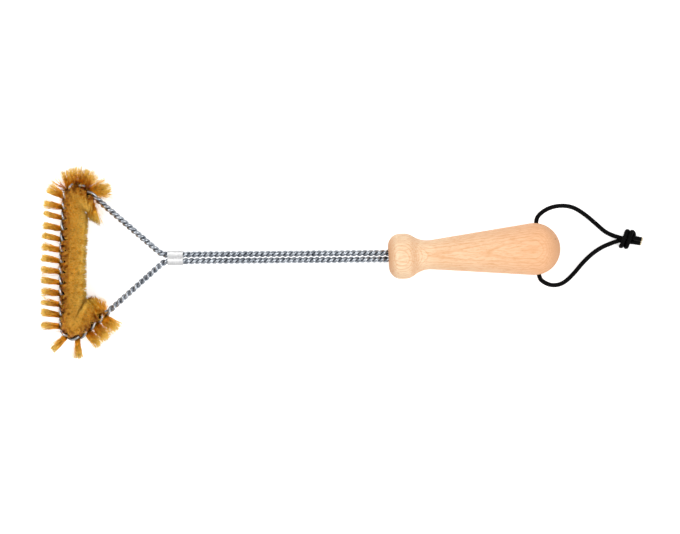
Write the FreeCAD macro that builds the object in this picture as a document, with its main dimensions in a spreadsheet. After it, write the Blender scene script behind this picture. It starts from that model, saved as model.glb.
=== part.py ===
import FreeCAD, Part
import Sketcher
import math
import os

from FreeCAD import Placement, Rotation, Vector

# Grill cleaning brush, in millimetres.
#
# A loop of two galvanised wires, twisted together, runs from the handle along the shaft, out along
# the upper arm, round the bristled front and back along the lower arm and the shaft. Brass bristles
# are trapped in the twist round the front. A crimped sleeve closes the loop where the arms meet. The
# wire ends sit in a turned beech handle, which carries a hanging cord in a cross hole.
#
# The brush is laid out in its own plane first: X along the shaft from the crimped sleeve towards the
# handle, Y across it, Z out of the plane. It is then laid on the table, on its bristles and on the
# round end of the handle, with the origin under the middle of its box.

SIZES = [
    # Twisted wires
    ("wire_diameter", 2.8, "one galvanised wire"),
    ("strand_gap", 0.1, "clearance between the two wires of a rope"),
    ("rope_gap", 0.1, "clearance between the two ropes of the shaft"),
    ("bare_pitch", 9.86, "one full turn of the twist where the rope is bare"),
    ("bristle_pitch", 18.7, "one full turn of the twist where it holds bristles"),
    ("pitch_change", 9.0, "length over which the twist changes pitch"),
    # Path of the rope
    ("shaft_length", 190.0, "from the start of the shaft to the face of the handle"),
    ("rope_in_handle", 60.0, "length of the wire ends inside the handle"),
    ("upper_bend_lead", 4.9, "upper arm's bend ahead of the sleeve"),
    ("lower_bend_lead", 3.1, "lower arm's bend ahead of the sleeve"),
    ("arm_bend_radius", 12.0, "bend from the shaft into an arm"),
    ("top_corner_reach", 88.2, "top corner of the triangle, ahead of the shaft"),
    ("top_corner_height", 74.6, "top corner, off the shaft's axis"),
    ("top_corner_radius", 10.3, "wire bend at the top corner"),
    ("front_middle_reach", 92.8, "middle of the front, ahead of the shaft"),
    ("front_middle_drop", 2.0, "middle of the front, below the shaft's axis"),
    ("front_middle_radius", 150.0, "slight bow of the front"),
    ("bottom_corner_reach", 93.2, "bottom corner of the triangle, ahead of the shaft"),
    ("bottom_corner_depth", 81.6, "bottom corner, off the shaft's axis"),
    ("bottom_corner_radius", 10.8, "wire bend at the bottom corner"),
    # Bristles
    ("tuft_count", 21, "one tuft for each half turn of the twist"),
    ("first_tuft_lead", 5.2, "first tuft's middle, before the top corner's bend"),
    ("tuft_radius", 19.6, "trimmed radius of the bristles"),
    ("tuft_offset", 0.8, "bristles stand longer on the inner side by twice this"),
    ("tuft_outer_width", 5.0, "tuft along the rope at its outer tips"),
    ("tuft_gap", 0.3, "gap between tufts on the inner side"),
    ("tuft_bore_gap", 0.15, "clearance between the bristles and the rope"),
    ("corner_fill", 0.8, "share of a corner's bend radius that its bristles fill"),
    # Crimped sleeve
    ("sleeve_front", 0.8, "sleeve's front edge, ahead of the start of the shaft"),
    ("sleeve_length", 13.2, "crimped sleeve"),
    ("sleeve_wall", 1.7, "wall of the crimped sleeve"),
    ("sleeve_gap", 0.2, "clearance between the sleeve and the ropes"),
    ("rim_length", 1.4, "rolled rim at the sleeve's rear"),
    ("rim_height", 0.35, "how far the rim stands out"),
    # Handle
    ("handle_length", 148.6, "turned handle, face to round end"),
    ("end_radius", 22.5, "round end of the handle"),
    ("bulb_radius", 19.6, "bulb at the front of the handle"),
    ("bulb_front_round", 10.4, "rounding from the face into the bulb"),
    ("bulb_crown", 3.4, "straight crown of the bulb"),
    ("bulb_rear_round", 13.0, "rounding from the bulb down to the neck"),
    ("neck_round", 22.0, "hollow rounding of the neck"),
    ("grip_taper", 6.35, "slope of the grip from the neck to the round end, degrees"),
    ("handle_tilt", 2.67, "handle's axis against the shaft, degrees"),
    ("handle_drop", 0.8, "middle of the handle's face, below the shaft's axis"),
    ("bore_gap", 0.3, "clearance between the ropes and the bore"),
    ("bore_depth", 62.0, "depth of the bore for the ropes"),
    ("cord_hole_diameter", 5.4, "cross hole for the hanging cord"),
    ("cord_hole_from_end", 20.0, "cross hole's axis, from the handle's round end"),
    # Hanging cord
    ("cord_diameter", 3.9, "braided cord"),
    ("cord_straight", 16.4, "half of the cord's straight length inside the handle"),
    ("knot_length", 17.6, "overhand knot along the cord"),
    ("knot_width", 17.0, "overhand knot across the cord"),
    ("knot_height", 9.4, "overhand knot, upright"),
    ("knot_gap", 0.1, "clearance between the knot's lump and the cord in it"),
]

# Route of each leg of the hanging cord, chosen by hand: the distance along the handle's axis from the
# cross hole, the distance across it, and the height above the table. The first point lies inside the
# cross hole, and its height is the hole's own.
UPPER_LEG = [
    (0.0, 24.8, 22.4),
    (4.0, 30.3, 21.6),
    (12.4, 34.9, 18.8),
    (22.6, 36.6, 14.2),
    (33.8, 35.0, 8.8),
    (44.0, 28.5, 4.6),
    (54.4, 18.8, 2.4),
    (64.2, 9.0, 2.7),
    (74.0, 5.9, 4.6),
]
LOWER_LEG = [
    (0.0, -24.6, 22.4),
    (3.9, -29.2, 21.4),
    (12.2, -32.8, 18.0),
    (22.0, -31.2, 12.6),
    (31.4, -23.8, 7.4),
    (40.8, -13.9, 3.8),
    (51.0, -5.4, 2.3),
    (62.2, 0.4, 2.6),
    (73.0, 3.3, 4.4),
]
KNOT_MIDDLE = (79.0, 4.0)
TAILS = {
    "cord_tail_upper": ((83.0, 5.4, 6.0), (92.6, 3.4, 5.8)),
    "cord_tail_lower": ((82.6, 2.0, 3.0), (91.6, 0.0, 2.4)),
}

UP = Vector(0, 0, 1)
SAMPLES_PER_TURN = 12  # points of a wire's middle line in each turn of the twist
ARC_SHARE = 0.45  # share of the shorter run beside a corner of the cord that the arc takes
TRIM_MARGIN = 1.05  # how far a tuft's wedge runs past the surface that trims it
ROUNDING = 1e-9


# ------------------------------------------------------------------ document and driving dimensions

doc = FreeCAD.newDocument("grill_brush")
sheet = doc.addObject("Spreadsheet::Sheet", "sizes")
for row, (name, value, note) in enumerate(SIZES, start=1):
    sheet.set(f"A{row}", note)
    sheet.set(f"B{row}", str(value))
    sheet.setAlias(f"B{row}", name)
doc.recompute()


def size(name):
    """The value of one driving dimension."""
    return float(sheet.get(name))


ROPE_DIAMETER = 2 * size("wire_diameter") + size("strand_gap")
ROPE_SPACING = ROPE_DIAMETER + size("rope_gap")
HALF_TURN = size("bristle_pitch") / 2


def add_piece(label, shape):
    """A sub-part whose shape is worked out in code."""
    piece = doc.addObject("Part::Feature", label)
    piece.Label = label
    piece.Shape = shape
    return piece


# ------------------------------------------------------------------ routes: straight runs and arcs

class PlaneRoute:
    """Straight runs joined by tangent arcs in the brush's plane, followed by distance."""

    def __init__(self, corners, radii):
        """radii holds one bend radius for each corner between the first and the last point."""
        self.runs = []
        self.bends = []
        self.length = 0.0
        start = corners[0]
        for before, corner, after, radius in zip(corners, corners[1:], corners[2:], radii):
            heading = direction_angle(before, corner)
            turn = wrap_angle(direction_angle(corner, after) - heading)
            setback = radius * math.tan(abs(turn) / 2)
            arc_start = corner - direction(heading) * setback
            self.add_run(start, heading, 0.0, (arc_start - start).Length)
            bend_from = self.length
            self.add_run(arc_start, heading, math.copysign(1 / radius, turn), radius * abs(turn))
            self.bends.append((bend_from, self.length, setback, turn))
            start = corner + direction(heading + turn) * setback
        last = corners[-1]
        self.add_run(start, direction_angle(start, last), 0.0, (last - start).Length)

    def add_run(self, start, heading, curvature, length):
        self.runs.append((self.length, start, heading, curvature, length))
        self.length += length

    def at(self, distance):
        """Point and heading at a distance along the route."""
        reached = [run for run in self.runs if run[0] <= distance + ROUNDING] or self.runs[:1]
        run_from, start, heading, curvature, _length = reached[-1]
        return follow_run(start, heading, curvature, distance - run_from)

    def beside(self, distance, side):
        """Point at a distance along the route and a distance out from it, to its right."""
        point, heading = self.at(distance)
        return point + outward(heading) * side

    def wire(self):
        edges = []
        for _run_from, start, heading, curvature, length in self.runs:
            middle, _ = follow_run(start, heading, curvature, length / 2)
            end, _ = follow_run(start, heading, curvature, length)
            if curvature:
                edges.append(Part.Arc(start, middle, end).toShape())
            else:
                edges.append(Part.LineSegment(start, end).toShape())
        return Part.Wire(edges)


def direction(angle):
    return Vector(math.cos(angle), math.sin(angle), 0)


def direction_angle(start, end):
    return math.atan2(end.y - start.y, end.x - start.x)


def wrap_angle(angle):
    return math.remainder(angle, 2 * math.pi)


def outward(heading):
    """The right-hand side of a heading, which is the outer side of the wire loop."""
    return Vector(math.sin(heading), -math.cos(heading), 0)


def follow_run(start, heading, curvature, distance):
    """Point and heading a distance along one straight run or arc."""
    if not curvature:
        return start + direction(heading) * distance, heading
    turned = heading + curvature * distance
    step = Vector(math.sin(turned) - math.sin(heading), math.cos(heading) - math.cos(turned), 0)
    return start + step * (1 / curvature), turned


def rounded_wire(points):
    """A route in space: straight runs joined by arcs that each take a share of the shorter run."""
    edges = []
    radii = []
    start = points[0]
    for before, corner, after in zip(points, points[1:], points[2:]):
        back = (before - corner).normalize()
        onward = (after - corner).normalize()
        setback = ARC_SHARE * min((before - corner).Length, (after - corner).Length)
        half_turn = (math.pi - back.getAngle(onward)) / 2
        radius = setback / math.tan(half_turn)
        arc_start = corner + back * setback
        arc_end = corner + onward * setback
        towards_middle = (back + onward).normalize()
        middle = corner + towards_middle * (radius / math.cos(half_turn) - radius)
        edges.append(Part.LineSegment(start, arc_start).toShape())
        edges.append(Part.Arc(arc_start, middle, arc_end).toShape())
        radii.append(radius)
        start = arc_end
    edges.append(Part.LineSegment(start, points[-1]).toShape())
    return Part.Wire(edges), radii


def round_tube(path, start, heading, radius):
    """A round bar of one radius along a wire of straight runs and arcs."""
    section = Part.Wire([Part.Circle(start, heading, radius).toShape()])
    return path.makePipeShell([section], True, False)


# ------------------------------------------------------------------ the wire loop

sleeve_front_x = -size("sleeve_front")
rope_end_x = size("shaft_length") + size("rope_in_handle")
loop_corners = [
    Vector(rope_end_x, ROPE_SPACING / 2, 0),
    Vector(sleeve_front_x - size("upper_bend_lead"), ROPE_SPACING / 2, 0),
    Vector(-size("top_corner_reach"), size("top_corner_height"), 0),
    Vector(-size("front_middle_reach"), -size("front_middle_drop"), 0),
    Vector(-size("bottom_corner_reach"), -size("bottom_corner_depth"), 0),
    Vector(sleeve_front_x - size("lower_bend_lead"), -ROPE_SPACING / 2, 0),
    Vector(rope_end_x, -ROPE_SPACING / 2, 0),
]
loop_radii = [
    size("arm_bend_radius"),
    size("top_corner_radius"),
    size("front_middle_radius"),
    size("bottom_corner_radius"),
    size("arm_bend_radius"),
]
loop = PlaneRoute(loop_corners, loop_radii)
upper_arm_bend, top_bend, front_bend, bottom_bend, lower_arm_bend = loop.bends

tuft_middles = [
    top_bend[0] - size("first_tuft_lead") + number * HALF_TURN
    for number in range(int(size("tuft_count")))
]
bristles_from = tuft_middles[0] - HALF_TURN / 2
bristles_to = tuft_middles[-1] + HALF_TURN / 2


def bristled_length_before(distance):
    """How much of the bristled twist lies before a distance, with a ramp at both of its ends."""

    def ramp(past):
        change = size("pitch_change")
        if past <= 0:
            return 0.0
        if past >= change:
            return past - change / 2
        return past * past / (2 * change)

    return ramp(distance - bristles_from + size("pitch_change")) - ramp(distance - bristles_to)


def twist_angle(distance):
    """Turn of the twist at a distance: nought where the first tuft lies in the brush's plane."""

    def turns_before(place):
        open_twist = bristled_length_before(place)
        return (place - open_twist) / size("bare_pitch") + open_twist / size("bristle_pitch")

    return 2 * math.pi * (turns_before(distance) - turns_before(tuft_middles[0]))


def strand_point(distance, phase):
    """Middle of one wire: it circles the rope's middle line, to the left-hand side going up."""
    point, heading = loop.at(distance)
    angle = twist_angle(distance) + phase
    lift = UP * math.cos(angle) - outward(heading) * math.sin(angle)
    return point + lift * ((size("wire_diameter") + size("strand_gap")) / 2)


def whole_strand(phase):
    """Middle line of one wire along the whole loop; its parameter is the distance along the loop."""
    steps = math.ceil(loop.length / size("bare_pitch") * SAMPLES_PER_TURN)
    distances = [loop.length * number / steps for number in range(steps + 1)]
    curve = Part.BSplineCurve()
    curve.interpolate(
        Points=[strand_point(distance, phase) for distance in distances], Parameters=distances)
    return curve


def strand_length(curve, first, last):
    """One wire of the twisted pair between two distances along the loop.

    Its section is two half circles, so that the long twisted side is two faces without a seam.
    """
    middle_line = curve.copy()
    middle_line.segment(first, last)
    circle = Part.Circle(
        middle_line.value(first), middle_line.tangent(first)[0], size("wire_diameter") / 2)
    halves = [Part.ArcOfCircle(circle, side * math.pi, (side + 1) * math.pi) for side in (0, 1)]
    section = Part.Wire([half.toShape() for half in halves])
    return Part.Wire([middle_line.toShape()]).makePipeShell([section], True, True)


loop_sections = {
    "shaft_upper": (0.0, upper_arm_bend[0]),
    "arm_upper": (upper_arm_bend[0], bristles_from),
    "front": (bristles_from, bristles_to),
    "arm_lower": (bristles_to, lower_arm_bend[1]),
    "shaft_lower": (lower_arm_bend[1], loop.length),
}
brush_pieces = []
for strand_name, phase in (("wire_a", 0.0), ("wire_b", math.pi)):
    strand_curve = whole_strand(phase)
    for section_name, (first, last) in loop_sections.items():
        shape = strand_length(strand_curve, first, last)
        brush_pieces.append(add_piece(f"{section_name}_{strand_name}", shape))


# ------------------------------------------------------------------ bristle tufts

def inner_reach(first, last):
    """How far a tuft reaches into the triangle before it meets the bristles round the corner."""
    reach = size("tuft_radius") + size("tuft_offset")
    for (bend_from, bend_to, setback, turn), radius in ((top_bend, loop_radii[1]),
                                                        (bottom_bend, loop_radii[3])):
        away = max(bend_from - last, first - bend_to)
        half_opening = (math.pi - abs(turn)) / 2
        if away > 0:
            room = (away + setback) * math.tan(half_opening) - size("tuft_gap") / 2
        else:
            room = radius
        reach = min(reach, max(room, radius) * (size("corner_fill") if room <= radius else 1.0))
    return reach


def tuft(middle):
    """Bristles of one half turn: a trimmed round fin, thin outside and wide inside."""
    half_outer = size("tuft_outer_width") / 2
    half_inner = (HALF_TURN - size("tuft_gap")) / 2
    outer = size("tuft_radius") * TRIM_MARGIN
    inner = inner_reach(middle - half_inner, middle + half_inner)
    outline = [
        loop.beside(middle - half_outer, outer),
        loop.beside(middle + half_outer, outer),
        loop.beside(middle + half_inner, -inner),
        loop.beside(middle - half_inner, -inner),
    ]
    below = UP * -size("tuft_radius")
    corners = [point + below for point in outline]
    fin = Part.Face(Part.makePolygon(corners + corners[:1])).extrude(UP * (2 * size("tuft_radius")))
    _point, heading = loop.at(middle)
    centre = loop.beside(middle, -size("tuft_offset"))
    along = direction(heading)
    reach = 2 * size("tuft_radius")
    trim = Part.makeCylinder(size("tuft_radius"), 2 * reach, centre - along * reach, along)
    return fin.common(trim).cut(rope_room)


rope_start, rope_heading = loop.at(0.0)
rope_room = round_tube(
    loop.wire(), rope_start, direction(rope_heading), ROPE_DIAMETER / 2 + size("tuft_bore_gap"))
for number, middle in enumerate(tuft_middles, start=1):
    brush_pieces.append(add_piece(f"bristle_tuft_{number:02d}", tuft(middle).Solids[0]))


# ------------------------------------------------------------------ PartDesign helpers

def origin_plane(body, role):
    return next(item for item in body.Origin.OriginFeatures if item.Role == role)


def new_body(label):
    body = doc.addObject("PartDesign::Body", label)
    body.Label = label
    return body


def new_sketch(body, name, role):
    sketch = body.newObject("Sketcher::SketchObject", name)
    sketch.AttachmentSupport = (origin_plane(body, role), [""])
    sketch.MapMode = "FlatFace"
    return sketch


def constrain(sketch, kind, *where):
    """Add a constraint and, where its last item is an expression, bind it to the sheet."""
    expression = where[-1] if isinstance(where[-1], str) else None
    values = where[:-1] if expression else where
    number = sketch.addConstraint(Sketcher.Constraint(kind, *values))
    if expression:
        sketch.setExpression(f"Constraints[{number}]", expression)


# ------------------------------------------------------------------ crimped sleeve

def double_ring(sketch, half_spacing, radius, spacing_expression, radius_expression):
    """Closed outline of two circles side by side that run into each other at a crease."""
    meet = math.acos(half_spacing / radius)
    left = Part.ArcOfCircle(
        Part.Circle(Vector(-half_spacing, 0, 0), UP, radius), meet, 2 * math.pi - meet)
    right = Part.ArcOfCircle(
        Part.Circle(Vector(half_spacing, 0, 0), UP, radius), math.pi + meet, 3 * math.pi - meet)
    sketch.addGeometry([left, right], False)
    start, end, centre, horizontal_axis, origin = 1, 2, 3, -1, (-1, 1)
    constrain(sketch, "Coincident", 0, start, 1, end)
    constrain(sketch, "Coincident", 0, end, 1, start)
    constrain(sketch, "PointOnObject", 0, centre, horizontal_axis)
    constrain(sketch, "Symmetric", 0, centre, 1, centre, *origin)
    constrain(sketch, "Equal", 0, 1)
    constrain(sketch, "DistanceX", 0, centre, 1, centre, 2 * half_spacing, spacing_expression)
    constrain(sketch, "Radius", 0, radius, radius_expression)


rope_half = ROPE_DIAMETER / 2
sleeve_inner = rope_half + size("sleeve_gap")
sleeve_outer = sleeve_inner + size("sleeve_wall")
rope_dia_cell = "(2 * sizes.wire_diameter + sizes.strand_gap)"
spacing_cell = f"({rope_dia_cell} + sizes.rope_gap) * 1mm"
inner_cell = f"{rope_dia_cell} / 2 + sizes.sleeve_gap"

sleeve = new_body("crimped_sleeve")
sleeve_outline = new_sketch(sleeve, "sleeve_outline", "YZ_Plane")
double_ring(sleeve_outline, ROPE_SPACING / 2, sleeve_outer,
            spacing_cell, f"({inner_cell} + sizes.sleeve_wall) * 1mm")
sleeve_pad = sleeve.newObject("PartDesign::Pad", "sleeve_pad")
sleeve_pad.Profile = sleeve_outline
sleeve_pad.setExpression("Length", "sizes.sleeve_length * 1mm")

rim_outline = new_sketch(sleeve, "rim_outline", "YZ_Plane")
rim_outline.setExpression(
    "AttachmentOffset.Base.z", "(sizes.sleeve_length - sizes.rim_length) * 1mm")
double_ring(rim_outline, ROPE_SPACING / 2, sleeve_outer + size("rim_height"),
            spacing_cell, f"({inner_cell} + sizes.sleeve_wall + sizes.rim_height) * 1mm")
rim_pad = sleeve.newObject("PartDesign::Pad", "rim_pad")
rim_pad.Profile = rim_outline
rim_pad.setExpression("Length", "sizes.rim_length * 1mm")

sleeve_hollow = new_sketch(sleeve, "sleeve_hollow", "YZ_Plane")
double_ring(sleeve_hollow, ROPE_SPACING / 2, sleeve_inner, spacing_cell, f"({inner_cell}) * 1mm")
hollow_pocket = sleeve.newObject("PartDesign::Pocket", "hollow_pocket")
hollow_pocket.Profile = sleeve_hollow
hollow_pocket.Type = "ThroughAll"
hollow_pocket.Midplane = True
doc.recompute()


# ------------------------------------------------------------------ turned handle

def handle_profile(sketch):
    """Half outline of the handle, on its axis: face, bulb, hollow neck, tapered grip, round end."""
    length = size("handle_length")
    end_radius = size("end_radius")
    front_round = size("bulb_front_round")
    bulb_radius = size("bulb_radius")
    rear_round = size("bulb_rear_round")
    neck_round = size("neck_round")
    taper = math.radians(size("grip_taper"))
    crown_end = front_round + size("bulb_crown")

    # The grip's straight side touches the round end, and the neck's arc touches both that side and
    # the bulb's rear arc.
    end_middle = Vector(length - end_radius, 0, 0)
    side_normal = Vector(-math.sin(taper), math.cos(taper), 0)
    side_along = Vector(math.cos(taper), math.sin(taper), 0)
    side_end = end_middle + side_normal * end_radius
    rear_middle = Vector(crown_end, bulb_radius - rear_round, 0)
    neck_line = side_end + side_normal * neck_round
    to_rear = rear_middle - neck_line
    along = to_rear.dot(side_along)
    apart = to_rear.dot(side_normal)
    reach = rear_round + neck_round
    neck_middle = neck_line + side_along * (along + math.sqrt(reach * reach - apart * apart))
    side_start = neck_middle - side_normal * neck_round
    meet_angle = direction_angle(rear_middle, neck_middle)

    def arc(centre, radius, first, last):
        return Part.ArcOfCircle(Part.Circle(centre, UP, radius), first, last)

    meet = rear_middle + direction(meet_angle) * rear_round
    face_radius = bulb_radius - front_round
    quarter = math.pi / 2
    sketch.addGeometry([
        Part.LineSegment(Vector(0, 0, 0), Vector(length, 0, 0)),
        Part.LineSegment(Vector(0, 0, 0), Vector(0, face_radius, 0)),
        arc(Vector(front_round, face_radius, 0), front_round, quarter, math.pi),
        Part.LineSegment(Vector(front_round, bulb_radius, 0), Vector(crown_end, bulb_radius, 0)),
        arc(rear_middle, rear_round, meet_angle, quarter),
        arc(neck_middle, neck_round, math.pi + meet_angle, direction_angle(neck_middle, side_start)
            + 2 * math.pi),
        Part.LineSegment(side_start, side_end),
        arc(end_middle, end_radius, 0, quarter + taper),
    ], False)
    axis, face, front, crown, rear, neck, side, end = range(8)
    start, finish, centre, horizontal_axis, origin = 1, 2, 3, -1, (-1, 1)
    constrain(sketch, "Coincident", axis, start, *origin)
    constrain(sketch, "Horizontal", axis)
    constrain(sketch, "DistanceX", axis, start, axis, finish, length, "sizes.handle_length * 1mm")
    constrain(sketch, "Coincident", face, start, *origin)
    constrain(sketch, "Vertical", face)
    constrain(sketch, "Tangent", face, finish, front, finish)
    constrain(sketch, "Radius", front, front_round, "sizes.bulb_front_round * 1mm")
    constrain(sketch, "Tangent", front, start, crown, start)
    constrain(sketch, "Horizontal", crown)
    constrain(sketch, "DistanceX", crown, start, crown, finish, size("bulb_crown"),
              "sizes.bulb_crown * 1mm")
    constrain(sketch, "DistanceY", axis, start, crown, start, bulb_radius,
              "sizes.bulb_radius * 1mm")
    constrain(sketch, "Tangent", crown, finish, rear, finish)
    constrain(sketch, "Radius", rear, rear_round, "sizes.bulb_rear_round * 1mm")
    constrain(sketch, "Tangent", rear, start, neck, start)
    constrain(sketch, "Radius", neck, neck_round, "sizes.neck_round * 1mm")
    constrain(sketch, "Tangent", neck, finish, side, start)
    constrain(sketch, "Angle", axis, start, side, start, taper, "sizes.grip_taper * 1deg")
    constrain(sketch, "Tangent", side, finish, end, finish)
    constrain(sketch, "Radius", end, end_radius, "sizes.end_radius * 1mm")
    constrain(sketch, "Coincident", end, start, axis, finish)
    constrain(sketch, "PointOnObject", end, centre, horizontal_axis)


handle = new_body("handle")
outline = new_sketch(handle, "handle_outline", "XY_Plane")
handle_profile(outline)
turning = handle.newObject("PartDesign::Revolution", "turning")
turning.Profile = outline
turning.ReferenceAxis = (outline, ["H_Axis"])
turning.Angle = 360
doc.recompute()
turned_volume = handle.Shape.Volume

# The bore follows the shaft, not the handle's own axis. It starts ahead of the face, so that its
# tilted mouth is cut all round.
bore_lead = 2.0
bore_sketch = new_sketch(handle, "bore_outline", "YZ_Plane")
bore_sketch.setExpression(
    "AttachmentOffset.Base.x",
    f"(sizes.handle_drop * cos(sizes.handle_tilt * 1deg)"
    f" + {bore_lead} * sin(sizes.handle_tilt * 1deg)) * 1mm")
bore_sketch.setExpression("AttachmentOffset.Base.z", f"{-bore_lead} * 1mm")
bore_sketch.AttachmentOffset = Placement(
    bore_sketch.AttachmentOffset.Base, Rotation(Vector(0, 1, 0), -size("handle_tilt")))
bore_radius = ROPE_DIAMETER + size("rope_gap") / 2 + size("bore_gap")
bore_sketch.addGeometry(Part.Circle(Vector(0, 0, 0), UP, bore_radius), False)
constrain(bore_sketch, "Coincident", 0, 3, -1, 1)
constrain(bore_sketch, "Radius", 0, bore_radius,
          f"({rope_dia_cell} + sizes.rope_gap / 2 + sizes.bore_gap) * 1mm")
bore = handle.newObject("PartDesign::Pocket", "bore")
bore.Profile = bore_sketch
bore.Reversed = True
bore.setExpression("Length", f"(sizes.bore_depth + {bore_lead}) * 1mm")

cross_hole_sketch = new_sketch(handle, "cross_hole_outline", "XZ_Plane")
cross_hole_x = size("handle_length") - size("cord_hole_from_end")
cross_hole_sketch.addGeometry(
    Part.Circle(Vector(cross_hole_x, 0, 0), UP, size("cord_hole_diameter") / 2), False)
constrain(cross_hole_sketch, "PointOnObject", 0, 3, -1)
constrain(cross_hole_sketch, "DistanceX", -1, 1, 0, 3, cross_hole_x,
          "(sizes.handle_length - sizes.cord_hole_from_end) * 1mm")
constrain(cross_hole_sketch, "Diameter", 0, size("cord_hole_diameter"),
          "sizes.cord_hole_diameter * 1mm")
cross_hole = handle.newObject("PartDesign::Pocket", "cross_hole")
cross_hole.Profile = cross_hole_sketch
cross_hole.Type = "ThroughAll"
cross_hole.Midplane = True
doc.recompute()
print("handle cut by", round(turned_volume - handle.Shape.Volume), "mm3")


# ------------------------------------------------------------------ laying the brush on the table

handle_seat = Placement(
    Vector(size("shaft_length"), -size("handle_drop"), 0), Rotation(UP, size("handle_tilt")))
sleeve_seat = Placement(Vector(sleeve_front_x, 0, 0), Rotation())
end_middle = handle_seat.multVec(Vector(size("handle_length") - size("end_radius"), 0, 0))
bristle_line = -size("front_middle_reach")
rise = size("end_radius") - size("tuft_radius")
lie_angle = math.degrees(math.asin(rise / (end_middle.x - bristle_line)))
lie = Placement(Vector(0, 0, 0), Rotation(Vector(0, 1, 0), -lie_angle))
own_seats = {"crimped_sleeve": sleeve_seat, "handle": handle_seat}
brush_pieces += [sleeve, handle]

for piece in brush_pieces:
    piece.Placement = lie.multiply(own_seats.get(piece.Label, Placement()))
doc.recompute()
box = FreeCAD.BoundBox()
for piece in brush_pieces:
    box.add(piece.Shape.optimalBoundingBox(False, False))
to_origin = Placement(Vector(-box.Center.x, -box.Center.y, -box.ZMin), Rotation())
table = to_origin.multiply(lie)
for piece in brush_pieces:
    piece.Placement = table.multiply(own_seats.get(piece.Label, Placement()))
doc.recompute()


# ------------------------------------------------------------------ hanging cord

cross_hole_middle = table.multiply(handle_seat).multVec(Vector(cross_hole_x, 0, 0))
loop_frame = Placement(Vector(cross_hole_middle.x, cross_hole_middle.y, 0),
                       Rotation(UP, size("handle_tilt")))
cord_radius = size("cord_diameter") / 2


def cord_leg(label, points, side):
    """One leg of the hanging cord, from inside the cross hole to inside the knot."""
    inside = Vector(0, side * size("cord_straight"), cross_hole_middle.z)
    route = [loop_frame.multVec(inside)] + [loop_frame.multVec(Vector(*point)) for point in points]
    path, radii = rounded_wire(route)
    solid = round_tube(path, route[0], route[1] - route[0], cord_radius)
    share = solid.Volume / (math.pi * cord_radius ** 2 * path.Length)
    print(label, "length", round(path.Length, 1), "volume share", round(share, 4),
          "radii", [round(radius, 1) for radius in radii])
    return add_piece(label, solid)


def knot_lump(cord_pieces):
    """The overhand knot: a flattened lump with room for the four lengths of cord that enter it."""
    lump = Part.makeSphere(1.0)
    stretch = FreeCAD.Matrix()
    stretch.scale(size("knot_length") / 2, size("knot_width") / 2, size("knot_height") / 2)
    lump = lump.transformGeometry(stretch)
    across, aside = KNOT_MIDDLE
    lump.Placement = loop_frame.multiply(
        Placement(Vector(across, aside, size("knot_height") / 2), Rotation()))
    for start, end in cord_pieces:
        length = (end - start).Length
        room = Part.makeCylinder(cord_radius + size("knot_gap"), length, start, end - start)
        lump = lump.cut(room)
    return add_piece("cord_knot", lump.Solids[0])


straight_start = loop_frame.multVec(Vector(0, -size("cord_straight"), cross_hole_middle.z))
straight_along = loop_frame.Rotation.multVec(Vector(0, 1, 0))
add_piece("cord_in_handle", Part.makeCylinder(
    cord_radius, 2 * size("cord_straight"), straight_start, straight_along))
cord_leg("cord_leg_upper", UPPER_LEG, 1)
cord_leg("cord_leg_lower", LOWER_LEG, -1)

in_knot = []
for points in (UPPER_LEG, LOWER_LEG):
    before, last = (loop_frame.multVec(Vector(*point)) for point in points[-2:])
    in_knot.append((before, last + (last - before).normalize() * size("knot_gap")))
for label, (start, end) in TAILS.items():
    start, end = (loop_frame.multVec(Vector(*point)) for point in (start, end))
    along = end - start
    add_piece(label, Part.makeCylinder(cord_radius, along.Length, start, along))
    in_knot.append((start - along.normalize() * size("knot_gap"), end))
knot_lump(in_knot)
doc.recompute()


# ------------------------------------------------------------------ checks and export

pieces = [item for item in doc.Objects if item.TypeId in ("Part::Feature", "PartDesign::Body")]
for item in doc.Objects:
    if "Invalid" in item.State or "Error" in item.State:
        raise RuntimeError(f"{item.Label} failed: {item.State}")
for piece in pieces:
    shape = piece.Shape
    if shape.isNull() or not shape.isValid() or len(shape.Solids) != 1:
        raise RuntimeError(f"{piece.Label} is not one valid solid")

os.makedirs("parts", exist_ok=True)
for piece in pieces:
    piece.Shape.exportStep(f"parts/{piece.Label}.step")

print(len(pieces), "nodes; hinge at", [round(value, 3) for value in cross_hole_middle],
      "axis", [round(value, 5) for value in straight_along])
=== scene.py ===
import math
from collections import namedtuple

import bpy
import numpy as np
from bpy.props import FloatProperty, FloatVectorProperty, IntProperty, PointerProperty
from mathutils import Matrix, Vector


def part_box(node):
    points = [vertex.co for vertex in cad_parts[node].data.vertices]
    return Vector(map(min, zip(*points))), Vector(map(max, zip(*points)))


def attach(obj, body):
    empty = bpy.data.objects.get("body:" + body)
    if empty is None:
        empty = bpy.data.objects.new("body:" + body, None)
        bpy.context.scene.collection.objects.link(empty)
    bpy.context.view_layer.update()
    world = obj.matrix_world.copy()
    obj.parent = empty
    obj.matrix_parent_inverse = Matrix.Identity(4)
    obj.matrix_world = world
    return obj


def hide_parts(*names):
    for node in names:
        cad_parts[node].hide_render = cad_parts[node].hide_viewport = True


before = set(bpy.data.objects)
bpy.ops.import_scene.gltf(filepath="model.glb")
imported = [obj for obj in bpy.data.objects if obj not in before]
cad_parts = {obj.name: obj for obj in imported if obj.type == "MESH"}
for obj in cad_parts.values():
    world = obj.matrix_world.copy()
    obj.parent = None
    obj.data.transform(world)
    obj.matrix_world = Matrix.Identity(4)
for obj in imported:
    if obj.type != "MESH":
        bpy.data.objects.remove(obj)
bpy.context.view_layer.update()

bl_info = {
    "name": "Grill Brush",
    "version": (1, 0, 0),
    "blender": (4, 5, 0),
    "location": "View3D > Sidebar > Grill Brush",
    "description": "Dresses a wire grill brush with brass bristles, a beech handle and a hanging cord",
    "category": "Object",
}

MM = 0.001
UP = np.array([0.0, 0.0, 1.0])


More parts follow.
